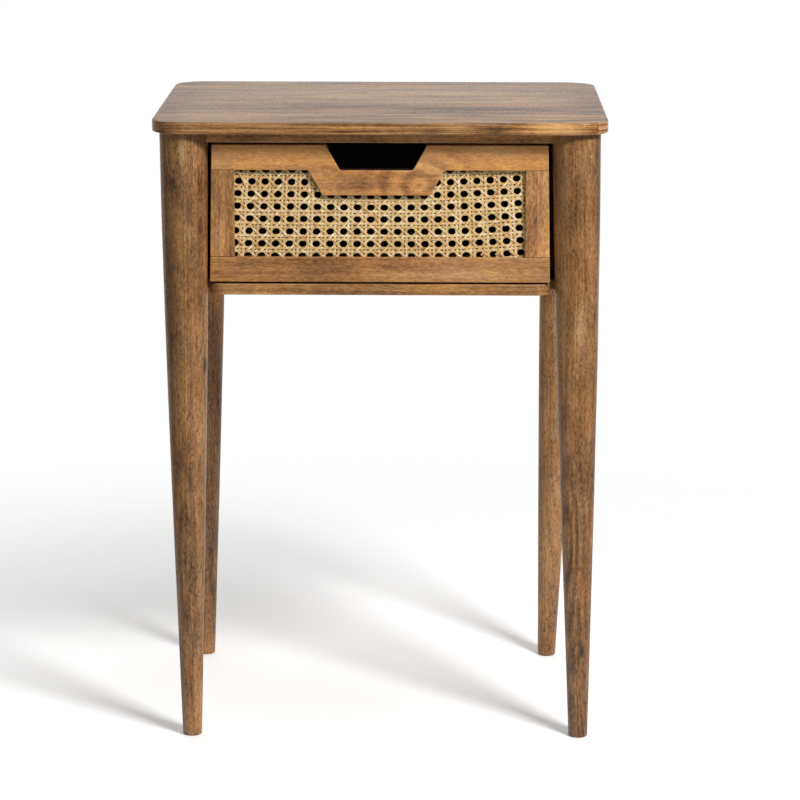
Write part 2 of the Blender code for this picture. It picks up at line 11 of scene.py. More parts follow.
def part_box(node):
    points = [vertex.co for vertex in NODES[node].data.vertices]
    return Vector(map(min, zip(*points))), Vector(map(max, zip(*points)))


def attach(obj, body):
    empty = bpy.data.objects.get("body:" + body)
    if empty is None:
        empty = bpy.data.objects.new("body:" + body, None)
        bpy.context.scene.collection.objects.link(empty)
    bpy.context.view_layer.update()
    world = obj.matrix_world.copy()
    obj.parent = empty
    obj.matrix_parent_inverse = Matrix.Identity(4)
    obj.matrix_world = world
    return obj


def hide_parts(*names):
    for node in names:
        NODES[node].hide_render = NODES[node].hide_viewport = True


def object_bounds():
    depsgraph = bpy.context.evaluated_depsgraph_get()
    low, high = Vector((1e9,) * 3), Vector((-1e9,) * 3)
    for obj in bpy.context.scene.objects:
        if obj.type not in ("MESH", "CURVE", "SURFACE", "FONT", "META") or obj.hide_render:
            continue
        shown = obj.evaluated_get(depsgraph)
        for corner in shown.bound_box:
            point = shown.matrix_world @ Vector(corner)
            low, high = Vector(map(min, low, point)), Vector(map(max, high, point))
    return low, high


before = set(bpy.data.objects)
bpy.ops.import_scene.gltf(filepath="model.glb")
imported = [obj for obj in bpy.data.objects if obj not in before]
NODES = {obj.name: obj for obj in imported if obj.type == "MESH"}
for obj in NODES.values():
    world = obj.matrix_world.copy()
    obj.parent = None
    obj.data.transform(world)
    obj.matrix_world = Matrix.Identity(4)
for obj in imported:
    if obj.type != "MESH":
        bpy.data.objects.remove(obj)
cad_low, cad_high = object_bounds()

# ---------------------------------------------------------------- legs and top, in metres
LEG_SIDES = 72
LEG_RINGS = 90
LEG_TOP_RADIUS = 0.0242
LEG_FOOT_RADIUS = 0.0098
LEG_BELLY = 0.0010                # how far the taper bows outwards at half height
LEG_SHOULDER = 0.0010             # and how much further where it is fullest, two thirds of the way up
FOOT_EASE = 0.0018
FOOT_EASE_STEPS = 6
TURNING_WAVE = 0.00012            # how far a hand-turned leg strays from its true radius
TURNING_CELLS = (0.8, 90, 14)     # how fast that changes round the leg, from leg to leg, and up the leg
SAME_HEIGHT = 0.0002

TOP_CORNER_RADIUS = 0.032
TOP_EDGE_EASE = 0.0014
CORNER_STEPS = 18
EDGE_STEPS = 5

# ---------------------------------------------------------------- woven cane, in metres
# Columns and rows count holes: row 1 is the first whole one under the top rail.
COLUMNS = 23
ROWS = 8
PITCH_X = 0.01333
PITCH_Z = 0.01240
MIDDLE_COLUMN = 11
MIDDLE_X = 0.0042
FIRST_ROW_Z = 0.5726
FAN = 0.0060                      # how much wider the columns spread with each row down
FAN_ROW = 4                       # the row where the columns are PITCH_X apart
# Where the rows lift towards each end of the panel: the rise, where it starts, its run, and its power.
END_LIFTS = [(0.0042, 0.045, 0.092, 1.6), (0.0010, -0.100, -0.044, 2)]
SAG = 0.0021                      # how far the upper rows sag under the grip
SAG_MIDDLE_X = 0.003
SAG_REACH = 0.050
SAG_FADE = 1.1                    # how fast the sag fades with each row below the second
PAIR_HALF = 0.00178               # from the middle of a pair to the middle of either strand
STRAND_WIDTH = 0.0025
DIAGONAL_WIDTH = 0.0022
STRAND_THICKNESS = 0.00075
WEAVE_DEPTH = 0.00033             # how far a strand of a pair rises and falls
DIAGONAL_DEPTH = 0.00068
STEPS_PER_HOLE = 9
FEWEST_POINTS = 4                 # a strand cut shorter than this by the outline is left out
# A strand's section, to the side in widths and to the front in thicknesses.
STRAND_SECTION = [
    (-0.5, 0.0), (-0.40, 0.30), (-0.2, 0.46), (0.0, 0.5), (0.2, 0.46), (0.40, 0.30),
    (0.5, 0.0), (0.35, -0.34), (0.0, -0.40), (-0.35, -0.34),
]
# How a strand wavers along its length: how far, and how fast in radians per metre.
SLOW_STRAY = (0.00013, 120)
FAST_STRAY = (0.00008, 410)
WIDTH_WAVE = (0.06, 75)
TILT_WAVE = (0.05, 160)
# Ends that came loose in weaving and lie on the front of the weave, each from (x, z) to (x, z).
LOOSE_STRANDS = [
    ((-0.1401, 0.5839), (-0.1333, 0.5695)),
    ((-0.0835, 0.5697), (-0.0890, 0.5653)),
    ((0.1004, 0.5002), (0.1050, 0.5042)),
    ((0.1150, 0.5002), (0.1200, 0.5044)),
    ((0.1290, 0.5044), (0.1340, 0.5004)),
]
LOOSE_FRONT = 0.0013              # how far in front of the middle of the sheet
LOOSE_BOW = 0.0005
LOOSE_TINT = 0.62
STEP_CLEARANCE = 0.01             # the outline's corners at the grip lie further in from the ends than this

# ---------------------------------------------------------------- screws
SCREW_SIDES = 32
SAME_END = 0.0005
# The head from the bottom of its recess outwards: (radius, depth) in head radii. The first two are the cross.
HEAD_PROFILE = [(0.22, 0.30), (0.30, 0.04), (0.94, 0.0), (1.0, 0.05), (0.52, 0.55)]
CROSS_RINGS = 2
CROSS_PINCH = 0.62
THREAD_TURNS = 9
THREAD_STEPS = 6                  # rings of points in each turn
THREAD_FROM, THREAD_TO = 0.30, 0.97
THREAD_CORE = 0.70                # the core and the thread's height, in shank radii
THREAD_HEIGHT = 0.28
TIP_SHARE = 0.16                  # the share of the length that tapers to the point
TIP_BLUNTNESS = 0.08

# ---------------------------------------------------------------- wood
WOOD_TONES = [(0.085, 0.037, 0.013), (0.245, 0.113, 0.038), (0.400, 0.204, 0.074), (0.580, 0.340, 0.145)]
# Painted shade: the inside of the drawer and case is near black, as dark as it looks in shade.
INNER_SHADE_TONES = [(0.020, 0.011, 0.006), (0.038, 0.021, 0.011), (0.055, 0.031, 0.016), (0.080, 0.047, 0.025)]
BEECH_TONES = [(0.30, 0.17, 0.08), (0.45, 0.28, 0.14), (0.56, 0.37, 0.20), (0.66, 0.46, 0.27)]
TONE_STOPS = (0.06, 0.36, 0.64, 0.96)

# Noise fields: cells per metre across, deep and along the grain, then detail and roughness.
SLOW_CELLS = (9.0, 9.0, 3.2)
CURL_CELLS = (55.0, 55.0, 30.0)
DASHES = ((430.0, 430.0, 165.0), 3.0, 0.75)
PATCHES = ((34.0, 34.0, 15.0), 4.0, 0.62)
WARMTH = ((70.0, 70.0, 24.0), 2.0, 0.5)
PORES = ((820.0, 820.0, 290.0), 1.0, 0.5)
# Bands that follow the growth rings: bands to a ring, changes per metre along the grain, and detail.
BROAD_BANDS = (0.45, 1.8, 2.0)
RING_BANDS = (1.0, 3.0, 3.0)
LINE_BANDS = (3.6, 7.0, 2.0)
BAND_ROUGHNESS = 0.6

# The noise values between which something goes from nothing to full.
CRISP_RANGE = (0.37, 0.63)
PORE_RANGE = (0.56, 0.68)
GOLDEN_RANGE = (0.35, 0.68)
NOISE_RANGE = (0.3, 0.7)          # nearly all of any noise lies in here

BROAD_SHARE = 0.7                 # of the figure, in the broad bands
FLECK_SHARE = 0.30
MARK_FADE = 1.0                   # how fast a mark fades out from its middle, and a knot and a ripple
KNOT_FADE = 0.22
KNOT_EDGE = (1.4, 0.3)            # a knot's eye is dark from the first to the second, in half sizes
RIPPLE_FADE = 0.5
RAGGEDNESS = 1.2                  # how uneven the outline of a mark or knot is, and of a ripple
RIPPLE_RAGGEDNESS = 0.5
STAVE_SHIFT = 0.731               # how far each board of a glued panel is cut further along the tree
STAVE_DEPTH = 0.08                # and at most how much deeper in it
STAVE_CONTRAST = 0.22
SEAM_WIDTH = (0.4955, 0.4995)     # from a board's middle to its seam, in board widths
SEAM_STRENGTH = 0.55
EDGE_RADIUS = 0.0012
EDGE_TURN = (0.995, 0.90)         # how far the rounded normal turns from the true one, as a cosine
# Where a face counts as upward, for the painted shade on the top.
FACING_UP = (0.30, 0.95)
# The soft edge of the painted shade in the grip's notch.
PAINTED_SHADE_EDGE_Y = 0.0006
PAINTED_SHADE_EDGE_Z = 0.0010
LEAST_WORN = 0.3                  # the share of the wear that every edge has
ROUGHNESS_SPREAD = (-0.06, 0.08)
PORE_ROUGHNESS = 0.20
WOOD_SPECULAR = 0.45
DASH_RELIEF, PORE_RELIEF, LINE_RELIEF = 0.5, -0.8, 0.3
WOOD_BUMP = (0.35, 0.0004)        # strength, and height in metres

COOL_HUE = (0.93, 0.96, 1.06, 1.0)
GOLDEN_HUE = (1.08, 1.03, 0.88, 1.0)
PORE_TINT = (0.42, 0.36, 0.32, 1.0)
KNOT_TINT = (0.16, 0.11, 0.09, 1.0)
SEAM_TINT = (0.35, 0.28, 0.24, 1.0)
WORN_WOOD = (0.60, 0.39, 0.19, 1.0)
# Painted shade: the near black of the grip's notch, where shade falls.
INNER_PAINTED_SHADE = (0.024, 0.013, 0.008, 1.0)

# ---------------------------------------------------------------- finish of the cane and screws
# The palest tone is partly the skin's own colour and partly painted highlight.
CANE_TONES = [
    (0.28, (0.360, 0.185, 0.062)),
    (0.41, (0.640, 0.405, 0.150)),
    (0.53, (0.820, 0.580, 0.255)),
    (0.66, (1.000, 0.880, 0.620)),
]
# Noise in a strand: cells to its width, cells per metre along it, detail and roughness.
FIBRES = (9.0, 90.0, 3.0, 0.6)
SKIN_PATCHES = (1.2, 190.0, 3.0, 0.62)
ROSY_PARTS = (0.0, 75.0, 1.0, 0.5)
JOINTS = (0.0, 60.0, 0.0, 0.5)
FIBRE_SHARE, PATCH_SHARE, TINT_SHARE = 0.35, 0.65, 0.13
SEED_SPREAD = 37.0                # how far apart in the noise two strands can be
ROSY_SEED = 11.0
# Where each of these starts and is full, how strong it is there, and its tint.
ROSY = ((0.56, 0.70), 0.7, (0.95, 0.76, 0.72, 1.0))
JOINT = ((0.68, 0.75), 0.6, (0.55, 0.40, 0.30, 1.0))
# Painted shade: each strand is darker towards its edges.
PAINTED_STRAND_EDGE_SHADE = ((0.20, 0.5), 0.75, (0.50, 0.36, 0.24, 1.0))
CANE_ROUGHNESS = (0.34, 0.56)
CANE_BUMP = (0.25, 0.0002)

ZINC_CELLS = (900.0, 900.0, 900.0)
ZINC_TONES = [(0.3, (0.34, 0.32, 0.28)), (0.7, (0.66, 0.64, 0.60))]
ZINC_ROUGHNESS = (0.25, 0.5)
ZINC_BUMP = (0.1, 0.0001)

# ---------------------------------------------------------------- stage
FLOOR_RADIUS = 1.25
FLOOR_SIDES = 96
FLOOR_FADE = (0.10, 0.97)         # where the floor starts to fade and is gone, in its own radii
FLOOR_CELLS = (40.0, 40.0, 40.0)
FLOOR_TONES = [(0.3, (0.925, 0.925, 0.92)), (0.7, (0.945, 0.945, 0.94))]
FLOOR_LIFT = 0.12                 # a little light of its own, which keeps the shadows pale
ROOM_LIGHT = 0.20                 # how brightly the room lights the table
WALL_LIGHT = 1.0                  # and the wall behind it, which shines on the top
WALL_EDGE = (0.35, 0.85)          # the wall's light starts and is full here, as a cosine from straight behind
# Each light: its place, what it is aimed at, its width and height, and its power.
LIGHTS = {
    "key": ((1.25, -1.65, 2.2), (0.0, 0.0, 0.35), (0.6, 0.6), 76.0),
    "overhead": ((0.1, 0.2, 2.9), (0.0, 0.0, 0.6), (2.2, 1.8), 22.0),
}
CAMERA_PLACE = (0.0563, -3.2852, 1.0353)
CAMERA_PITCH, CAMERA_YAW, CAMERA_ROLL = 0.2143, -0.0115, 0.0017
CAMERA_LENS = 144.05
CAMERA_SENSOR = 36.0


# ---------------------------------------------------------------- building materials
class Shader:
    """A Principled material, and short calls that add nodes to it."""

    def __init__(self, name, roughness=0.5, metallic=0.0):
        self.material = bpy.data.materials.new(name)
        self.material.use_nodes = True
        self.tree = self.material.node_tree
        self.principled = self.tree.nodes["Principled BSDF"]
        self.put("Roughness", roughness)
        self.put("Metallic", metallic)

    def put(self, socket, value):
        """Gives one of the shader's own sockets a value, or links it."""
        self._feed(self.principled.inputs[socket], value)

    def _feed(self, socket, value):
        if isinstance(value, bpy.types.NodeSocket):
            self.tree.links.new(value, socket)
        else:
            socket.default_value = value

    def node(self, kind, inputs, output=0, **settings):
        made = self.tree.nodes.new("ShaderNode" + kind)
        for key, value in settings.items():
            setattr(made, key, value)
        for key, value in inputs.items():
            self._feed(made.inputs[key], value)
        return made.outputs[output]

    def math(self, operation, *values):
        return self.node("Math", dict(enumerate(values)), operation=operation)

    def plus(self, first, second):
        return self.math("ADD", first, second)

    def minus(self, first, second):
        return self.math("SUBTRACT", first, second)

    def times(self, first, second):
        return self.math("MULTIPLY", first, second)

    def vector(self, operation, *values):
        return self.node("VectorMath", dict(enumerate(values)), operation=operation)

    def length(self, value):
        return self.node("VectorMath", {0: value}, "Value", operation="LENGTH")

    def combine(self, x, y, z):
        return self.node("CombineXYZ", {0: x, 1: y, 2: z})

    def split(self, value):
        made = self.tree.nodes.new("ShaderNodeSeparateXYZ")
        self._feed(made.inputs[0], value)
        return tuple(made.outputs)

    def object_place(self):
        """The point in metres, in the object's own frame, which moves with the piece."""
        return self.node("TexCoord", {}, "Object")

    def noise(self, place, detail, roughness=0.5, output="Fac"):
        inputs = {"Vector": place, "Scale": 1.0, "Detail": detail, "Roughness": roughness}
        return self.node("TexNoise", inputs, output)

    def ramp(self, factor, *stops):
        """A colour ramp: each stop is (position, colour)."""
        made = self.tree.nodes.new("ShaderNodeValToRGB")
        self._feed(made.inputs[0], factor)
        elements = made.color_ramp.elements
        while len(elements) < len(stops):
            elements.new(0.5)
        for element, (position, colour) in zip(elements, stops):
            element.position = position
            element.color = (*colour, 1.0)
        return made.outputs[0]

    def mix(self, factor, first, second, blend="MIX"):
        """Mixes two colours. The node's colour sockets are inputs 6 and 7 and output 2."""
        made = self.tree.nodes.new("ShaderNodeMix")
        made.data_type = "RGBA"
        made.blend_type = blend
        for socket, value in ((0, factor), (6, first), (7, second)):
            self._feed(made.inputs[socket], value)
        return made.outputs[2]

    def remap(self, value, low, high, to_low=0.0, to_high=1.0, smooth=False):
        inputs = {"Value": value, "From Min": low, "From Max": high, "To Min": to_low, "To Max": to_high}
        kind = "SMOOTHSTEP" if smooth else "LINEAR"
        return self.node("MapRange", inputs, interpolation_type=kind)

    def bump(self, height, strength, distance):
        inputs = {"Height": height, "Strength": strength, "Distance": distance}
        self.put("Normal", self.node("Bump", inputs))


def edge_mask(shader):
    """1 on sharp edges and 0 away from them."""
    round_normal = shader.node("Bevel", {"Radius": EDGE_RADIUS}, samples=6)
    normal = shader.node("NewGeometry", {}, "Normal")
    inputs = {0: round_normal, 1: normal}
    return shader.remap(shader.node("VectorMath", inputs, "Value", operation="DOT_PRODUCT"), *EDGE_TURN)


def shaded(brightness, warmth=0.0):
    """The wood's four tones, all made brighter or darker, and warmer or greyer: a piece's own tone together
    with painted light and shade, set for how brightly that piece is lit.
    """
    tint = (1 + 0.5 * warmth, 1.0, 1 - warmth)
    return [tuple(brightness * t * c for t, c in zip(tint, tone)) for tone in WOOD_TONES]


def wood(
    name,
    grain,
    offset,
    pith,
    tones=WOOD_TONES,
    wander=0.010,
    crinkle=0.0050,
    ring=190.0,
    figure=0.9,
    streak=0.5,
    fleck=1.0,
    pore=0.40,
    blotch=0.9,
    roughness=0.42,
    knots=(),
    marks=(),
    ripples=(),
    staves=None,
    wear=0.35,
    stain=None,
    painted_top_shade=None,
):
    """Open-grained mango wood, cut from its own place in a tree.

    Grain is the axis that it runs along, and offset and pith are the place: pith is where the tree's middle
    lies across the grain. Ring is the number of growth rings per metre. Wander and crinkle are how far the
    rings stray in broad sweeps and in small ripples, in metres. Figure, streak, fleck and blotch say how
    strongly the rings, the long fine lines, the short dashes and the broad patches show, and pore how dark
    the open pores are.
    A knot is (centre, radius, stretch along the grain, darkness, how far it bends the grain). A mark is
    (centre, half sizes, how much lighter or darker). A ripple is (centre, half sizes, how close its rings
    are, how strongly they show). Staves are the glued boards, as (width, where the first one starts). Wear
    is how pale the edges are rubbed. The last two paint shade. The first of them is (depth, height): behind
    that depth and below that height the piece is painted as dark as the drawer's inside looks in shade. The
    second is the colour that an upward face is multiplied by, painted shade that greys and darkens the top.
    """
    shader = Shader(name)
    place = shader.object_place()
    x, y, z = shader.split(place)
    across, depth, along = {"X": (y, z, x), "Y": (x, z, y), "Z": (x, y, z)}[grain]
    if staves:
        width, start = staves
        share = shader.math("DIVIDE", shader.minus(across, start), width)
        index = shader.math("FLOOR", share)
        board_chance = shader.node("TexWhiteNoise", {"W": index}, "Value", noise_dimensions="1D")
        along = shader.plus(along, shader.times(index, STAVE_SHIFT))
        depth = shader.plus(depth, shader.times(board_chance, STAVE_DEPTH))
        seam = shader.math("ABSOLUTE", shader.minus(shader.math("FRACT", share), 0.5))
    in_wood = shader.vector("ADD", shader.combine(across, depth, along), offset)

    def drift(cells):
        spread = shader.noise(shader.vector("MULTIPLY", in_wood, cells), 2.0, output="Color")
        return shader.vector("SUBTRACT", spread, (0.5, 0.5, 0.5))

    slow = drift(SLOW_CELLS)
    curl = drift(CURL_CELLS)
    bent = shader.vector("ADD", in_wood, shader.vector("MULTIPLY", slow, (2 * wander, 2 * wander, 0.0)))
    bent = shader.vector("ADD", bent, shader.vector("MULTIPLY", curl, (crinkle, crinkle, 0.0)))
    bent_across, bent_depth, bent_along = shader.split(bent)
    from_pith = shader.combine(shader.minus(bent_across, pith[0]), shader.minus(bent_depth, pith[1]), 0.0)
    radius = shader.length(from_pith)

    def spot(centre, sizes, fade, raggedness=RAGGEDNESS):
        """A soft-edged patch that is 1 in the middle, and how far out each point is, in half sizes."""
        away = shader.vector("DIVIDE", shader.vector("SUBTRACT", place, centre), sizes)
        ragged = shader.plus(shader.length(away), shader.times(shader.split(curl)[2], raggedness))
        near = shader.math("EXPONENT", shader.times(shader.math("POWER", ragged, 2.0), -fade))
        return near, ragged

    darkness = None
    for centre, size, stretch, dark, push in knots:
        grown = {"X": (stretch, 1, 1), "Y": (1, stretch, 1), "Z": (1, 1, stretch)}[grain]
        near, ragged = spot(centre, [size * g for g in grown], KNOT_FADE)
        radius = shader.plus(radius, shader.times(near, push))
        eye = shader.times(shader.remap(ragged, *KNOT_EDGE, smooth=True), dark)
        darkness = eye if darkness is None else shader.math("MAXIMUM", darkness, eye)

    def bands(per_ring, along_cells, detail):
        band_place = shader.combine(
            shader.times(radius, ring * per_ring), 0.0, shader.times(bent_along, along_cells)
        )
        return shader.noise(band_place, detail, BAND_ROUGHNESS)

    def speckle(cells, detail, roughness):
        return shader.noise(shader.vector("MULTIPLY", bent, cells), detail, roughness)

    broad, rings, lines = bands(*BROAD_BANDS), bands(*RING_BANDS), bands(*LINE_BANDS)
    dashes, patch, warm = speckle(*DASHES), speckle(*PATCHES), speckle(*WARMTH)
    crisp = shader.remap(dashes, *CRISP_RANGE, -0.5, 0.5, smooth=True)
    pores = shader.remap(speckle(*PORES), *PORE_RANGE, smooth=True)

    tone = 0.5
    for part, weight in ((rings, figure), (broad, BROAD_SHARE * figure), (lines, streak), (patch, blotch)):
        tone = shader.plus(tone, shader.times(shader.minus(part, 0.5), weight))
    tone = shader.plus(tone, shader.times(crisp, FLECK_SHARE * fleck))
    for centre, sizes, change in marks:
        near, _ = spot(centre, sizes, MARK_FADE)
        tone = shader.plus(tone, shader.times(near, change))
    for centre, sizes, waves, change in ripples:
        near, ragged = spot(centre, sizes, RIPPLE_FADE, RIPPLE_RAGGEDNESS)
        wave = shader.math("SINE", shader.times(ragged, waves))
        tone = shader.plus(tone, shader.times(shader.times(wave, near), change))
    if staves:
        tone = shader.plus(tone, shader.times(shader.minus(board_chance, 0.5), STAVE_CONTRAST))
    colour = shader.ramp(tone, *zip(TONE_STOPS, tones))

    golden = shader.remap(warm, *GOLDEN_RANGE, smooth=True)
    colour = shader.mix(1.0, colour, shader.mix(golden, COOL_HUE, GOLDEN_HUE), "MULTIPLY")
    colour = shader.mix(shader.times(pores, pore), colour, PORE_TINT, "MULTIPLY")
    if darkness:
        colour = shader.mix(darkness, colour, KNOT_TINT, "MULTIPLY")
    if staves:
        line = shader.remap(seam, *SEAM_WIDTH, 0.0, SEAM_STRENGTH)
        colour = shader.mix(line, colour, SEAM_TINT, "MULTIPLY")
    if wear:
        patchy = shader.remap(dashes, *NOISE_RANGE, LEAST_WORN * wear, wear)
        colour = shader.mix(shader.times(edge_mask(shader), patchy), colour, WORN_WOOD)
    # Painted shade: an upward face is multiplied darker and greyer than the edges.
    if painted_top_shade:
        facing_up = shader.split(shader.node("NewGeometry", {}, "Normal"))[2]
        upward = shader.remap(facing_up, *FACING_UP, smooth=True)
        colour = shader.mix(upward, colour, (*painted_top_shade, 1.0), "MULTIPLY")
    # Painted shade: behind a depth and below a height the piece is painted as dark as the drawer's inside.
    if stain:
        behind = shader.remap(y, stain[0], stain[0] + PAINTED_SHADE_EDGE_Y)
        below = shader.remap(z, stain[1], stain[1] - PAINTED_SHADE_EDGE_Z)
        colour = shader.mix(shader.times(behind, below), colour, INNER_PAINTED_SHADE)
    shader.put("Base Color", colour)
    rough = shader.remap(dashes, *NOISE_RANGE, *(roughness + spread for spread in ROUGHNESS_SPREAD))
    shader.put("Roughness", shader.plus(rough, shader.times(pores, PORE_ROUGHNESS)))
    shader.put("Specular IOR Level", WOOD_SPECULAR)
    height = shader.plus(shader.times(dashes, DASH_RELIEF), shader.times(pores, PORE_RELIEF))
    shader.bump(shader.plus(height, shader.times(lines, LINE_RELIEF)), *WOOD_BUMP)
    return shader.material


def cane_material():
    """Split cane: glossy straw-coloured skin with fine fibres along it, darker joints, pale flecks that are
    partly the skin's own colour and partly painted highlight, and painted shade towards each strand's edges.
    """
    shader = Shader("split cane")
    width, length, _ = shader.split(shader.node("UVMap", {}, uv_map="strand"))
    tint = shader.node("Attribute", {}, "Fac", attribute_name="tint")
    seed = shader.times(tint, SEED_SPREAD)

    def strand_noise(across_cells, along_cells, detail, roughness, own_seed=seed):
        """Noise in a strand's own widths across and metres along, different on each strand."""
        across, along = shader.times(width, across_cells), shader.times(length, along_cells)
        return shader.noise(shader.combine(across, along, own_seed), detail, roughness)

    def tinted(colour, value, limits, strength, tint_colour, smooth=True):
        factor = shader.remap(value, *limits, 0.0, strength, smooth)
        return shader.mix(factor, colour, tint_colour, "MULTIPLY")

    fibre, patch = strand_noise(*FIBRES), strand_noise(*SKIN_PATCHES)
    tone = shader.plus(shader.times(fibre, FIBRE_SHARE), shader.times(patch, PATCH_SHARE))
    tone = shader.plus(tone, shader.times(shader.minus(tint, 0.5), TINT_SHARE))
    rosy = strand_noise(*ROSY_PARTS, own_seed=shader.plus(seed, ROSY_SEED))
    from_middle = shader.math("ABSOLUTE", shader.minus(width, 0.5))
    colour = tinted(shader.ramp(tone, *CANE_TONES), rosy, *ROSY)
    colour = tinted(colour, strand_noise(*JOINTS), *JOINT)
    # Painted shade towards each strand's edges.
    colour = tinted(colour, from_middle, *PAINTED_STRAND_EDGE_SHADE, smooth=False)
    shader.put("Base Color", colour)
    shader.put("Roughness", shader.remap(fibre, *NOISE_RANGE, *CANE_ROUGHNESS))
    shader.bump(fibre, *CANE_BUMP)
    return shader.material


def steel_material():
    """Bright zinc on a screw, dulled in patches."""
    shader = Shader("zinc", metallic=1.0)
    cloud = shader.noise(shader.vector("MULTIPLY", shader.object_place(), ZINC_CELLS), 3.0)
    shader.put("Base Color", shader.ramp(cloud, *ZINC_TONES))
    shader.put("Roughness", shader.remap(cloud, *NOISE_RANGE, *ZINC_ROUGHNESS))
    shader.bump(cloud, *ZINC_BUMP)
    return shader.material


# ---------------------------------------------------------------- building meshes
def add(name, bm, material, body, stands_for, sharp_from=35):
    """Makes a piece that rides on a body, takes its finish from a slot, and stands for CAD nodes."""
    bmesh.ops.recalc_face_normals(bm, faces=bm.faces)
    mesh = bpy.data.meshes.new(name)
    bm.to_mesh(mesh)
    bm.free()
    mesh.shade_smooth()
    mesh.set_sharp_from_angle(angle=math.radians(sharp_from))
    piece = bpy.data.objects.new(name, mesh)
    bpy.context.scene.collection.objects.link(piece)
    mesh.materials.append(material)
    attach(piece, body)
    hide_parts(*stands_for)


def loft(rings):
    """A closed skin through rings of points that all have the same count."""
    bm = bmesh.new()
    loops = [[bm.verts.new(point) for point in ring] for ring in rings]
    count = len(loops[0])
    for lower, upper in zip(loops, loops[1:]):
        for i in range(count):
            k = (i + 1) % count
            bm.faces.new((lower[i], lower[k], upper[k], upper[i]))
    bm.faces.new(reversed(loops[0]))
    bm.faces.new(loops[-1])
    return bm


def rounded(outline, radius):
    """Replaces each corner of an outline by an arc."""
    points = []
    count = len(outline)
    for i in range(count):
        corner = Vector(outline[i])
        to_last = (Vector(outline[i - 1]) - corner).normalized()
        to_next = (Vector(outline[(i + 1) % count]) - corner).normalized()
        half = to_last.angle(to_next) / 2
        centre = corner + (to_last + to_next).normalized() * (radius / math.sin(half))
        start = corner + to_last * (radius / math.tan(half)) - centre
        end = corner + to_next * (radius / math.tan(half)) - centre
        sweep = start.angle_signed(end)
        for step in range(CORNER_STEPS + 1):
            angle = math.atan2(start.y, start.x) - sweep * step / CORNER_STEPS
            points.append(centre + radius * Vector((math.cos(angle), math.sin(angle))))
    return points


def inset(outline, distance):
    """Moves each side of an anticlockwise outline inwards by a distance."""
    points = []
    count = len(outline)
    for i in range(count):
        last, here, following = (Vector(outline[(i + k) % count]) for k in (-1, 0, 1))
        first = (here - last).normalized()
        second = (following - here).normalized()
        normal_1, normal_2 = Vector((-first.y, first.x)), Vector((-second.y, second.x))
        mitre = (normal_1 + normal_2).normalized()
        points.append(here + mitre * (distance / mitre.dot(normal_1)))
    return points


def slab(outline, low, high, ease):
    """A board with this outline in XY whose upper and lower edges are rounded to a radius."""
    profile = []
    for step in range(EDGE_STEPS + 1):
        angle = math.pi / 2 * step / EDGE_STEPS
        profile.append((ease * (1 - math.sin(angle)), low + ease * (1 - math.cos(angle))))
    profile += [(distance, low + high - z) for distance, z in reversed(profile)]
    return loft([[(*point, z) for point in inset(outline, distance)] for distance, z in profile])


# ---------------------------------------------------------------- top and legs
def make_top(material):
    low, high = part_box("top_panel")
    corners = [(low.x, low.y), (high.x, low.y), (high.x, high.y), (low.x, high.y)]
    board = slab(rounded(corners, TOP_CORNER_RADIUS), low.z, high.z, TOP_EDGE_EASE)
    add("top", board, material, "case", ["top_panel"])


def mean_x(name, height):
    """The middle of a leg along X, from the CAD leg's points at one end."""
    spots = [v.co.x for v in NODES[name].data.vertices if abs(v.co.z - height) < SAME_HEIGHT]
    return (min(spots) + max(spots)) / 2


def leg_radius(share):
    """A leg's radius at a share of the table's height. The factors 4 and 27 / 4 make each bow peak at 1."""
    taper = LEG_FOOT_RADIUS + (LEG_TOP_RADIUS - LEG_FOOT_RADIUS) * share
    belly = LEG_BELLY * 4 * share * (1 - share)
    shoulder = LEG_SHOULDER * 27 / 4 * share * share * (1 - share)
    return taper + belly + shoulder


def make_leg(name, material):
    low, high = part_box(name)
    foot_x = mean_x(name, low.z)
    axis_y = (low.y + high.y) / 2
    side = -1 if "left" in name else 1
    # At the top, a leg is as far in from the side as from the front or back.
    top_x = side * (cad_high.x - (cad_high.y - abs(axis_y)))
    turns = [math.pi / 2 * step / FOOT_EASE_STEPS for step in range(FOOT_EASE_STEPS + 1)]
    heights = [FOOT_EASE * (1 - math.cos(turn)) for turn in turns]
    heights += [FOOT_EASE + (high.z - FOOT_EASE) * ring / LEG_RINGS for ring in range(1, LEG_RINGS + 1)]
    round_cells, leg_cells, up_cells = TURNING_CELLS
    rings = []
    for z in heights:
        eased = max(0.0, 1 - z / FOOT_EASE)
        radius = leg_radius(z / cad_high.z) - FOOT_EASE * (1 - math.sqrt(1 - eased * eased))
        centre_x = foot_x + (top_x - foot_x) * z / high.z
        wave_place = Vector((foot_x * leg_cells, axis_y * leg_cells, z * up_cells))
        ring = []
        for side_number in range(LEG_SIDES):
            angle = 2 * math.pi * side_number / LEG_SIDES
            away = Vector((math.cos(angle), math.sin(angle), 0.0))
            stray = noise.noise(away * round_cells + wave_place) * TURNING_WAVE
            ring.append(Vector((centre_x, axis_y, z)) + away * (radius + stray - TURNING_WAVE))
        rings.append(ring)
    add(name + "_turned", loft(rings), material, "case", [name])


# ---------------------------------------------------------------- cane
def cane_point(column, row, depth):
    """A point of the weave. The rows lift towards the panel's ends, and the columns fan out downwards."""
    x = MIDDLE_X + (column - MIDDLE_COLUMN) * PITCH_X * (1 + FAN * (row - FAN_ROW))
    lift = sum(rise * max(0.0, (x - start) / run) ** power for rise, start, run, power in END_LIFTS)
    sag = SAG * math.exp(-(((x - SAG_MIDDLE_X) / SAG_REACH) ** 2) - SAG_FADE * max(0.0, row - 2))
    return Vector((x, depth, FIRST_ROW_Z - (row - 1) * PITCH_Z + lift - sag))


def weave(offset, half):
    """How far a strand is in front as it crosses a pair, whose middle is offset away: over one, under one."""
    return WEAVE_DEPTH * math.sin(math.pi * max(-1.0, min(1.0, offset / (2 * half))))


def to_nearest_pair(value):
    """How far a column or row number is from the nearest pair of strands, which runs between the holes."""
    return value - (math.floor(value) + 0.5)


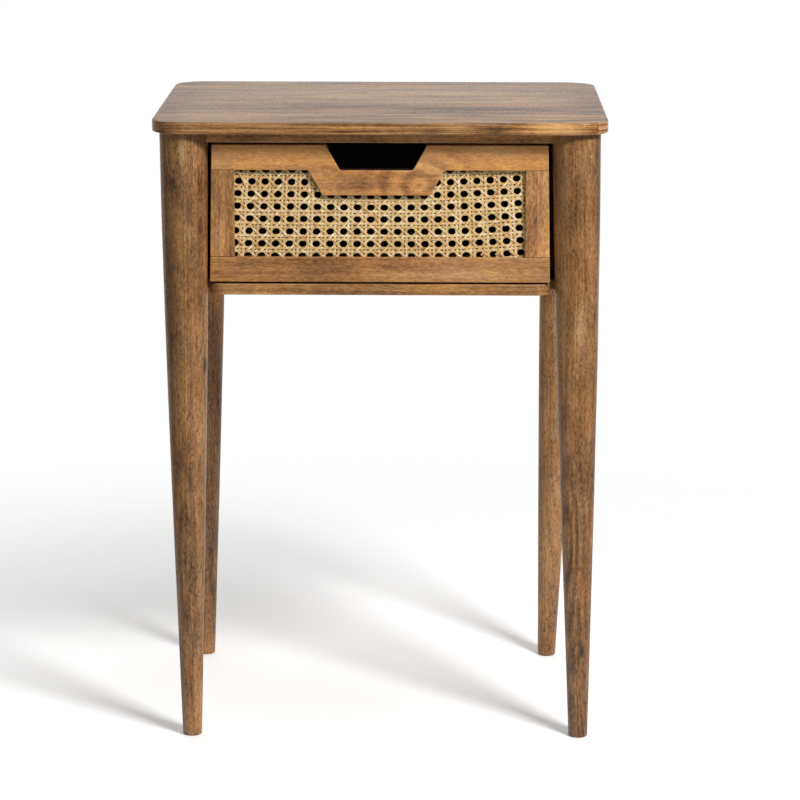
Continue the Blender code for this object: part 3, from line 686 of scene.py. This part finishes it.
# Each of these gives a strand as a function of how far along it is: column, row, and how far to the front.
def upright(column, sign):
    half = PAIR_HALF / PITCH_X

    def at(row):
        return column + sign * half, row, -sign * weave(to_nearest_pair(row), PAIR_HALF / PITCH_Z)

    return at


def crosswise(row, sign):
    half = PAIR_HALF / PITCH_Z

    def at(column):
        return column, row + sign * half, sign * weave(to_nearest_pair(column), PAIR_HALF / PITCH_X)

    return at


def falling(start):
    def at(column):
        return column, column - start, DIAGONAL_DEPTH * math.cos(2 * math.pi * (column - 0.5))

    return at


def rising(start):
    def at(column):
        return column, start - column, -DIAGONAL_DEPTH * math.cos(2 * math.pi * (column - 0.5))

    return at


def inside(point, outline):
    """Whether a point lies in an outline in XZ."""
    odd = False
    for (x1, z1), (x2, z2) in zip(outline, outline[1:] + outline[:1]):
        if (z1 > point.z) != (z2 > point.z) and point.x < x1 + (point.z - z1) * (x2 - x1) / (z2 - z1):
            odd = not odd
    return odd


def cane_outline():
    """The CAD sheet's outline in XZ, anticlockwise from its lower left corner."""
    low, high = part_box("cane_webbing")
    spots = {(round(v.co.x, 5), round(v.co.z, 5)) for v in NODES["cane_webbing"].data.vertices}
    left, right = low.x + STEP_CLEARANCE, high.x - STEP_CLEARANCE
    step = sorted((spot for spot in spots if left < spot[0] < right), reverse=True)
    return [(low.x, low.z), (high.x, low.z), (high.x, high.z), *step, (low.x, high.z)]


def waver(wave, gone, phase):
    amount, rate = wave
    return amount * math.sin(gone * rate + phase)


class CaneMesh:
    """The mesh that strands are added to, with each one's tint, and a UV of its width and length."""

    def __init__(self):
        self.bm = bmesh.new()
        self.tint = self.bm.verts.layers.float.new("tint")
        self.uv = self.bm.loops.layers.uv.new("strand")
        self.rng = random.Random(11)

    def strand(self, path, width, tint):
        """A flat-backed strip of cane with a round face, along a path of points."""
        phase, wobble = self.rng.uniform(0, 6.28), self.rng.uniform(0.5, 1.0)
        rings, lengths, gone = [], [], 0.0
        for i, point in enumerate(path):
            ahead = path[min(i + 1, len(path) - 1)] - path[max(i - 1, 0)]
            ahead.y = 0.0
            across = Vector((ahead.z, 0.0, -ahead.x)).normalized()
            gone += (point - path[i - 1]).length if i else 0.0
            stray = wobble * waver(SLOW_STRAY, gone, phase) + waver(FAST_STRAY, gone, 2 * phase)
            broad = width * (1 + waver(WIDTH_WAVE, gone, 3 * phase))
            tilt = waver(TILT_WAVE, gone, phase)
            ring = []
            for across_share, front_share in STRAND_SECTION:
                side = across * (across_share * broad + stray)
                front = front_share * STRAND_THICKNESS + across_share * broad * tilt
                ring.append(self.bm.verts.new(point + side + Vector((0.0, -1.0, 0.0)) * front))
            rings.append(ring)
            lengths.append(gone)
        self._skin(rings, lengths)
        for ring in rings:
            for vertex in ring:
                vertex[self.tint] = tint

    def _skin(self, rings, lengths):
        count = len(STRAND_SECTION)
        for i, (lower, upper) in enumerate(zip(rings, rings[1:])):
            for k in range(count):
                following = (k + 1) % count
                face = self.bm.faces.new((lower[k], lower[following], upper[following], upper[k]))
                across_uv = [k / count, (k + 1) / count, (k + 1) / count, k / count]
                along_uv = [lengths[i], lengths[i], lengths[i + 1], lengths[i + 1]]
                for loop, u, v in zip(face.loops, across_uv, along_uv):
                    loop[self.uv].uv = (u, v)
        self.bm.faces.new(rings[0])
        self.bm.faces.new(reversed(rings[-1]))


def make_cane(material):
    """The six-way weave: pairs of uprights and crosswise strands, and a diagonal each way between them."""
    low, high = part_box("cane_webbing")
    middle = (low.y + high.y) / 2
    outline = cane_outline()
    # Every run starts and ends outside the sheet, and is cut to its outline.
    runs = []
    for column in range(-1, COLUMNS + 1):
        for sign in (-1, 1):
            runs.append((upright(column + 0.5, sign), -1, ROWS + 2, STRAND_WIDTH))
    for row in range(-1, ROWS + 1):
        for sign in (-1, 1):
            runs.append((crosswise(row + 0.5, sign), -2, COLUMNS + 2, STRAND_WIDTH))
    for start in range(-ROWS - 2, COLUMNS + 3):
        runs.append((falling(start + 0.5), -2, COLUMNS + 2, DIAGONAL_WIDTH))
    for start in range(-3, COLUMNS + ROWS + 3):
        runs.append((rising(start + 0.5), -2, COLUMNS + 2, DIAGONAL_WIDTH))

    cane = CaneMesh()
    for at, first, last, width in runs:
        tint = cane.rng.random()
        path = []
        for step in range(first * STEPS_PER_HOLE, last * STEPS_PER_HOLE + 1):
            column, row, front = at(step / STEPS_PER_HOLE)
            point = cane_point(column, row, middle - front)
            if inside(point, outline):
                path.append(point)
                continue
            if len(path) >= FEWEST_POINTS:
                cane.strand(path, width, tint)
            path = []
    for (start_x, start_z), (end_x, end_z) in LOOSE_STRANDS:
        path = []
        for step in range(STEPS_PER_HOLE + 1):
            share = step / STEPS_PER_HOLE
            front = LOOSE_FRONT + LOOSE_BOW * math.sin(math.pi * share)
            x, z = start_x + share * (end_x - start_x), start_z + share * (end_z - start_z)
            path.append(Vector((x, middle - front, z)))
        cane.strand(path, DIAGONAL_WIDTH, LOOSE_TINT)
    add("woven_cane", cane.bm, material, "drawer", ["cane_webbing"], sharp_from=60)


# ---------------------------------------------------------------- screws
def screw_rings(head_radius, length):
    """A screw's rings of (radius, depth under the head), from the bottom of the recess to the point."""
    rings = [[(r * head_radius, d * head_radius)] * SCREW_SIDES for r, d in HEAD_PROFILE]
    shank = head_radius / 2
    stops = THREAD_TURNS * THREAD_STEPS
    for stop in range(stops + 1):
        share = THREAD_FROM + (THREAD_TO - THREAD_FROM) * stop / stops
        taper = max(min(1.0, (1 - share) / TIP_SHARE), TIP_BLUNTNESS)
        ring = []
        for side_number in range(SCREW_SIDES):
            phase = (stop / THREAD_STEPS + side_number / SCREW_SIDES) % 1.0
            tooth = max(0.0, 1 - abs(phase - 0.5) * 4) * THREAD_HEIGHT
            ring.append((shank * (THREAD_CORE + tooth) * taper, share * length))
        rings.append(ring)
    return rings


def make_screw(name, material):
    """A countersunk screw with a cross recess and a thread, in the place of the CAD one."""
    low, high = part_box(name)
    spread = high - low
    axis = max(range(3), key=lambda i: spread[i])
    centre = (low + high) / 2
    spots = [v.co for v in NODES[name].data.vertices]
    ends = {end: [s for s in spots if abs(s[axis] - end) < SAME_END] for end in (low[axis], high[axis])}
    head = max(ends, key=lambda end: max((s - centre).length for s in ends[end]))
    sign = 1 if head == low[axis] else -1
    along = Vector([sign if i == axis else 0.0 for i in range(3)])
    start = Vector([head if i == axis else centre[i] for i in range(3)])
    head_radius = (spread[(axis + 1) % 3] + spread[(axis + 2) % 3]) / 4
    turn = Vector((0, 0, 1)).rotation_difference(along).to_matrix()
    shaped = []
    for number, ring in enumerate(screw_rings(head_radius, spread[axis])):
        points = []
        for side_number, (radius, down) in enumerate(ring):
            angle = 2 * math.pi * side_number / SCREW_SIDES
            pinch = 1 - CROSS_PINCH * abs(math.sin(2 * angle)) if number < CROSS_RINGS else 1.0
            point = Vector((radius * math.cos(angle) * pinch, radius * math.sin(angle) * pinch, down))
            points.append(start + turn @ point)
        shaped.append(points)
    body = "drawer" if name == "opening_stop_screw" else "case"
    add(name + "_threaded", loft(shaped), material, body, [name])


# ---------------------------------------------------------------- the wood of each piece
TOP_MARKS = [
    ((0.10, -0.065, 0.635), (0.110, 0.022, 0.004), -0.34),
    ((-0.11, -0.112, 0.635), (0.120, 0.006, 0.004), 0.30),
    ((0.03, 0.055, 0.635), (0.080, 0.010, 0.004), 0.20),
    ((0.172, -0.176, 0.629), (0.034, 0.006, 0.006), 0.72),
    ((0.078, -0.176, 0.631), (0.024, 0.006, 0.004), 0.34),
    ((0.052, -0.176, 0.627), (0.010, 0.006, 0.003), -0.34),
    ((0.110, -0.176, 0.627), (0.016, 0.006, 0.003), -0.20),
    ((-0.150, -0.176, 0.629), (0.070, 0.006, 0.006), 0.12),
    ((-0.218, 0.0, 0.635), (0.026, 0.170, 0.004), -0.30),
    ((0.218, 0.0, 0.635), (0.026, 0.170, 0.004), -0.24),
]
TOP_STAVES = (0.0772, -0.167)
BOTTOM_STAVES = (0.092, -0.17)
# Painted shade: behind this depth and below this height the grip's notch is painted near black.
NOTCH_PAINTED_SHADE = (-0.1508, 0.6060)

# What all four legs have in common, and then each leg's own.
LEG_FIGURE = {
    "ring": 250.0,
    "wander": 0.007,
    "crinkle": 0.0030,
    "figure": 0.6,
    "streak": 0.9,
    "fleck": 0.80,
    "pore": 0.85,
    "blotch": 0.90,
}
LEG_WOODS = {
    "front_left_leg": {
        "offset": (0.0, 0.0, 1.0),
        "pith": (-0.163, -0.175),
        "tones": shaded(0.945, -0.02),
        "knots": [
            ((-0.1752, -0.151, 0.389), 0.0040, 2.4, 0.95, 0.004),
            ((-0.2031, -0.165, 0.574), 0.0042, 1.4, 0.60, 0.006),
        ],
        "marks": [
            ((-0.2031, -0.165, 0.574), (0.010, 0.02, 0.017), -0.24),
            ((-0.188, -0.170, 0.522), (0.005, 0.01, 0.010), 0.28),
            ((-0.194, -0.170, 0.603), (0.005, 0.01, 0.016), 0.24),
            ((-0.190, -0.170, 0.470), (0.014, 0.01, 0.025), -0.12),
            # Painted shade: a dark band down the leg's right flank, beside the drawer front.
            ((-0.176, -0.162, 0.550), (0.006, 0.014, 0.070), -0.32),
            # Painted shade: darker towards the foot.
            ((-0.192, -0.160, 0.020), (0.050, 0.060, 0.200), -0.16),
        ],
        "ripples": [((-0.197, -0.160, 0.180), (0.009, 0.05, 0.110), 9.0, 0.13)],
    },
    "front_right_leg": {
        "offset": (0.0, 0.0, 4.3),
        "pith": (0.225, -0.178),
        "tones": shaded(0.9345, -0.02),
        "knots": [((0.2055, -0.155, 0.092), 0.0024, 3.4, 1.0, 0.003)],
        "marks": [
            ((0.1990, -0.170, 0.428), (0.0055, 0.01, 0.024), 0.34),
            ((0.2050, -0.170, 0.520), (0.006, 0.01, 0.040), 0.04),
            ((0.1960, -0.170, 0.560), (0.006, 0.01, 0.030), -0.14),
            # Painted shadow: the top of the leg is darkened under the top's overhang.
            ((0.2000, -0.160, 0.590), (0.040, 0.04, 0.070), -0.10),
            ((0.2180, -0.168, 0.590), (0.013, 0.02, 0.060), -0.17),
            # Painted shade: darker towards the foot.
            ((0.2030, -0.160, 0.040), (0.050, 0.06, 0.240), -0.22),
        ],
        "ripples": [
            ((0.188, -0.160, 0.205), (0.011, 0.05, 0.085), 11.0, 0.20),
            ((0.199, -0.160, 0.110), (0.008, 0.05, 0.060), 8.0, 0.14),
        ],
    },
    "rear_left_leg": {
        "offset": (0.0, 0.0, 7.7),
        "pith": (-0.160, 0.118),
        "tones": shaded(0.9765, -0.02),
        "knots": [
            ((-0.186, 0.125, 0.340), 0.0050, 2.0, 0.25, 0.006),
            ((-0.188, 0.120, 0.182), 0.0030, 2.6, 0.8, 0.004),
        ],
        # Painted shade: darker towards the foot.
        "marks": [((-0.188, 0.120, 0.100), (0.05, 0.06, 0.13), -0.14)],
    },
    "rear_right_leg": {
        "offset": (0.0, 0.0, 9.2),
        "pith": (0.170, 0.170),
        "tones": shaded(0.924, -0.02),
        # Painted light: lighter towards the foot.
        "marks": [((0.188, 0.120, 0.100), (0.05, 0.06, 0.13), 0.12)],
    },
}


def paint(material, *names):
    for name in names:
        slots = NODES[name].material_slots
        if slots:
            slots[0].material = material
        else:
            NODES[name].data.materials.append(material)


def make_top_and_legs():
    make_top(wood(
        "top wood", "X", (0.0, 0.02, 3.1), (-0.25, -0.055), shaded(1.08, 0.02),
        wander=0.005, crinkle=0.0016, figure=0.95, streak=2.0, fleck=0.6, blotch=0.6, roughness=0.36,
        # The last colour is painted shade that greys and darkens the top's upward face.
        marks=TOP_MARKS, staves=TOP_STAVES, painted_top_shade=(0.60, 0.62, 0.64),
    ))
    for name, own in LEG_WOODS.items():
        make_leg(name, wood(name.replace("_", " "), "Z", **own, **LEG_FIGURE))


def paint_drawer_front():
    paint(wood(
        "grip rail wood", "X", (0.3, 0.1, 0.6), (0.66, -0.185), shaded(1.81, 0.03),
        wander=0.006, crinkle=0.003, figure=0.25, streak=0.25, fleck=0.55, pore=0.30, blotch=0.30,
        marks=[
            ((0.0, -0.152, 0.572), (0.058, 0.02, 0.014), -0.29),
            # Painted light: the rail's top strip is lightened against the shadow that the top casts on it.
            ((0.115, -0.152, 0.607), (0.075, 0.02, 0.007), 0.22),
            ((-0.110, -0.152, 0.607), (0.075, 0.02, 0.007), 0.16),
        ],
        ripples=[((0.038, -0.152, 0.571), (0.036, 0.05, 0.026), 11.0, 0.16)],
        stain=NOTCH_PAINTED_SHADE,
    ), "drawer_grip_rail")
    paint(wood(
        "bottom rail wood", "X", (0.1, 0.3, 5.2), (0.40, -0.19), shaded(1.22, 0.05),
        wander=0.006, figure=0.6, fleck=0.8, blotch=0.6,
        marks=[
            ((-0.08, -0.153, 0.48), (0.07, 0.02, 0.03), -0.16),
            ((0.11, -0.153, 0.48), (0.06, 0.02, 0.03), 0.14),
        ],
    ), "drawer_bottom_rail")
    paint(wood(
        "left stile wood", "Z", (0.2, 0.0, 2.4), (-0.10, -0.20), shaded(1.24, 0.03), wander=0.006, fleck=0.9,
    ), "drawer_left_stile")
    paint(wood(
        "right stile wood", "Z", (0.5, 0.1, 8.1), (0.10, -0.21), shaded(1.52, 0.02), wander=0.006, fleck=0.9,
    ), "drawer_right_stile")


def paint_case():
    paint(wood(
        "front rail wood", "X", (0.4, 0.2, 6.6), (0.70, -0.10), shaded(1.37), fleck=0.8,
    ), "front_top_rail")
    paint(wood(
        "bottom board wood", "X", (0.0, 0.4, 9.9), (-0.20, 0.40), shaded(1.02, 0.04), fleck=0.9,
        staves=BOTTOM_STAVES,
    ), "bottom_board")
    paint(wood("left side wood", "Y", (0.1, 0.2, 1.9), (-0.10, 0.42)), "left_side_panel")
    paint(wood("right side wood", "Y", (0.6, 0.1, 3.7), (0.12, 0.40)), "right_side_panel")
    paint(wood("back wood", "X", (0.7, 0.5, 7.3), (0.44, 0.06)), "back_panel")


def paint_inside():
    # Painted shade: the inside of the drawer and case is painted near black, as it looks in shade.
    dull = {"tones": INNER_SHADE_TONES, "roughness": 0.55, "wear": 0.15}
    long_wood = wood("stained inner wood", "Y", (0.2, 0.6, 4.4), (0.1, 0.70), **dull)
    cross_wood = wood("shade-darkened cross wood", "X", (0.9, 0.3, 5.5), (0.70, 0.3), **dull)
    paint(long_wood, "drawer_left_side", "drawer_right_side", "left_drawer_guide", "right_drawer_guide")
    paint(cross_wood, "drawer_back", "drawer_base", "rear_top_cleat", "opening_stop")
    paint(cross_wood, "left_closing_stop", "right_closing_stop")
    paint(cross_wood, *[name for name in NODES if name.endswith("_bead")])
    beech = wood("dowel beech", "X", (0.3, 0.9, 2.2), (0.5, 0.9), BEECH_TONES, wear=0.0)
    paint(beech, *[name for name in NODES if name.endswith("_dowel")])


# ---------------------------------------------------------------- floor, light and camera
def make_floor():
    """A pale round floor that fades into the white surround, so that no horizon shows."""
    bm = bmesh.new()
    bmesh.ops.create_circle(bm, cap_ends=True, segments=FLOOR_SIDES, radius=FLOOR_RADIUS)
    mesh = bpy.data.meshes.new("floor")
    bm.to_mesh(mesh)
    bm.free()
    floor = bpy.data.objects.new("floor", mesh)
    bpy.context.scene.collection.objects.link(floor)
    shader = Shader("pale floor", roughness=0.9)
    place = shader.object_place()
    grain = shader.noise(shader.vector("MULTIPLY", place, FLOOR_CELLS), 4.0)
    shader.put("Base Color", shader.ramp(grain, *FLOOR_TONES))
    shader.put("Specular IOR Level", 0.1)
    fade_from, fade_to = (share * FLOOR_RADIUS for share in FLOOR_FADE)
    shader.put("Alpha", shader.remap(shader.length(place), fade_from, fade_to, 1.0, 0.0, smooth=True))
    shader.put("Emission Color", (1.0, 1.0, 1.0, 1.0))
    shader.put("Emission Strength", FLOOR_LIFT)
    mesh.materials.append(shader.material)


def make_light(name, place, target, size, power):
    light = bpy.data.lights.new(name, "AREA")
    light.shape = "RECTANGLE"
    light.size, light.size_y = size
    light.energy = power
    made = bpy.data.objects.new(name, light)
    made.location = place
    made.rotation_euler = (Vector(target) - Vector(place)).to_track_quat("-Z", "Y").to_euler()
    bpy.context.scene.collection.objects.link(made)


def make_world():
    """White all round to look at, but for the light that falls on it a dim room with a bright wall behind."""
    world = bpy.data.worlds.new("studio")
    bpy.context.scene.world = world
    world.use_nodes = True
    tree = world.node_tree
    toward_wall = tree.nodes.new("ShaderNodeVectorMath")
    toward_wall.operation = "DOT_PRODUCT"
    tree.links.new(tree.nodes.new("ShaderNodeTexCoord").outputs["Generated"], toward_wall.inputs[0])
    toward_wall.inputs[1].default_value = (0.0, 1.0, 0.0)
    wall = tree.nodes.new("ShaderNodeMapRange")
    wall.interpolation_type = "SMOOTHSTEP"
    tree.links.new(toward_wall.outputs["Value"], wall.inputs["Value"])
    wall.inputs["From Min"].default_value, wall.inputs["From Max"].default_value = WALL_EDGE
    wall.inputs["To Min"].default_value = ROOM_LIGHT
    wall.inputs["To Max"].default_value = WALL_LIGHT
    brightness = tree.nodes.new("ShaderNodeMix")
    seen = tree.nodes.new("ShaderNodeLightPath").outputs["Is Camera Ray"]
    tree.links.new(seen, brightness.inputs["Factor"])
    tree.links.new(wall.outputs["Result"], brightness.inputs["A"])
    brightness.inputs["B"].default_value = 1.0
    background = tree.nodes["Background"]
    tree.links.new(brightness.outputs["Result"], background.inputs["Strength"])
    background.inputs["Color"].default_value = (1.0, 1.0, 1.0, 1.0)


def make_camera():
    pitch, yaw, roll = CAMERA_PITCH, CAMERA_YAW, CAMERA_ROLL
    heading = Vector((math.sin(yaw), math.cos(yaw), 0.0))
    forward = heading * math.cos(pitch) - Vector((0.0, 0.0, math.sin(pitch)))
    level = Vector((math.cos(yaw), -math.sin(yaw), 0.0))
    upward = level.cross(forward)
    right = level * math.cos(roll) + upward * math.sin(roll)
    up = upward * math.cos(roll) - level * math.sin(roll)
    data = bpy.data.cameras.new("camera")
    data.lens = CAMERA_LENS
    data.sensor_width = CAMERA_SENSOR
    camera = bpy.data.objects.new("camera", data)
    bpy.context.scene.collection.objects.link(camera)
    camera.matrix_world = Matrix((right, up, -forward)).transposed().to_4x4()
    camera.location = CAMERA_PLACE
    bpy.context.scene.camera = camera


make_top_and_legs()
paint_drawer_front()
paint_case()
paint_inside()
make_cane(cane_material())
zinc = steel_material()
for node_name in sorted(NODES):
    if node_name.endswith("_screw"):
        make_screw(node_name, zinc)
make_floor()
for light_name, settings in LIGHTS.items():
    make_light(light_name, *settings)
make_world()
make_camera()
bpy.context.scene.view_settings.view_transform = "Standard"
